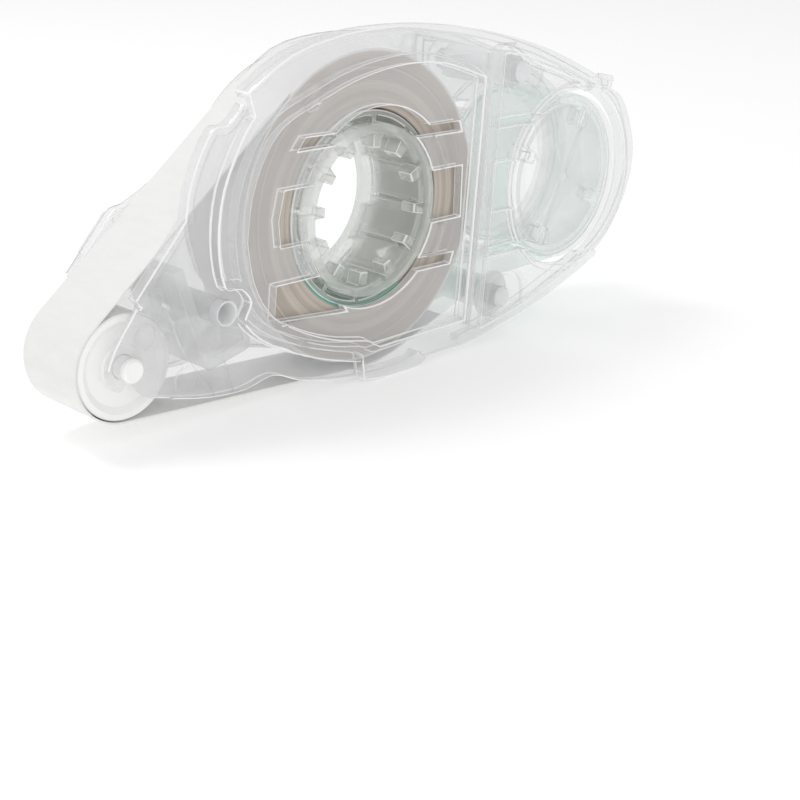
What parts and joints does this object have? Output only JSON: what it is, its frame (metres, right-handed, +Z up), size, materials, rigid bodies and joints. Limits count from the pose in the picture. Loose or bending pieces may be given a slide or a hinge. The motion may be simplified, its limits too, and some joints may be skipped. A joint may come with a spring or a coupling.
{
  "type": "correction tape refill cartridge",
  "caption": "Flat clear tape refill cartridge: two shells hold a toothed supply core with wound tape, a tip roller, a liner strip and a take-up core.",
  "frame": {"origin": "middle of the supply core's axis, halfway through the thickness", "axes": "+X along the cartridge from the tip roller to the take-up end, +Y along the shafts from the near shell to the far shell, +Z up, square to the length"},
  "size_m": [0.0882, 0.015, 0.0405],
  "materials": {
    "clear_shell": "clear moulded polystyrene, polished",
    "clear_pin": "clear moulded plastic",
    "frosted_plastic": "frosted translucent polypropylene",
    "roller_plastic": "milky white acetal",
    "core_plastic": "grey green translucent plastic",
    "leader_film": "teal plastic film",
    "tape_side": "edges of wound tape",
    "liner_paper": "smooth silicone paper",
    "take_up_plastic": "clear moulded plastic"
  },
  "bodies": {
    "shell": {"near_cover": "clear_shell", "far_cover": "clear_shell", "upper_cover_pin": "clear_pin", "lower_cover_pin": "clear_pin", "return_guide_sleeve": "frosted_plastic", "locating_bush": "clear_pin", "guide_block": "frosted_plastic", "roller_axle": "roller_plastic", "feed_run": "liner_paper", "tip_wrap": "liner_paper", "return_run": "liner_paper", "leader_run": "leader_film"},
    "supply": {"supply_core": "core_plastic", "core_leader": "leader_film", "supply_roll": "tape_side", "supply_outer_turn": "liner_paper"},
    "tip": {"tip_roller": "roller_plastic"},
    "take_up": {"take_up_core": "take_up_plastic", "take_up_winding": "leader_film"}
  },
  "joints": [
    {"name": "supply_spin", "type": "hinge", "parent": "shell", "child": "supply", "pos_m": [0, 0, 0], "axis": [0, -1, 0], "continuous": true},
    {"name": "tip_spin", "type": "hinge", "parent": "shell", "child": "tip", "pos_m": [-0.0337, 0, -0.0113], "axis": [0, -1, 0], "continuous": true},
    {"name": "take_up_spin", "type": "hinge", "parent": "shell", "child": "take_up", "pos_m": [0.0346, 0, -0.0008], "axis": [0, -1, 0], "continuous": true}
  ],
  "couplings": [
    {"joint": "tip_spin", "follows": "supply_spin", "ratio": 3.0672},
    {"joint": "take_up_spin", "follows": "supply_spin", "ratio": 1.6667}
  ]
}
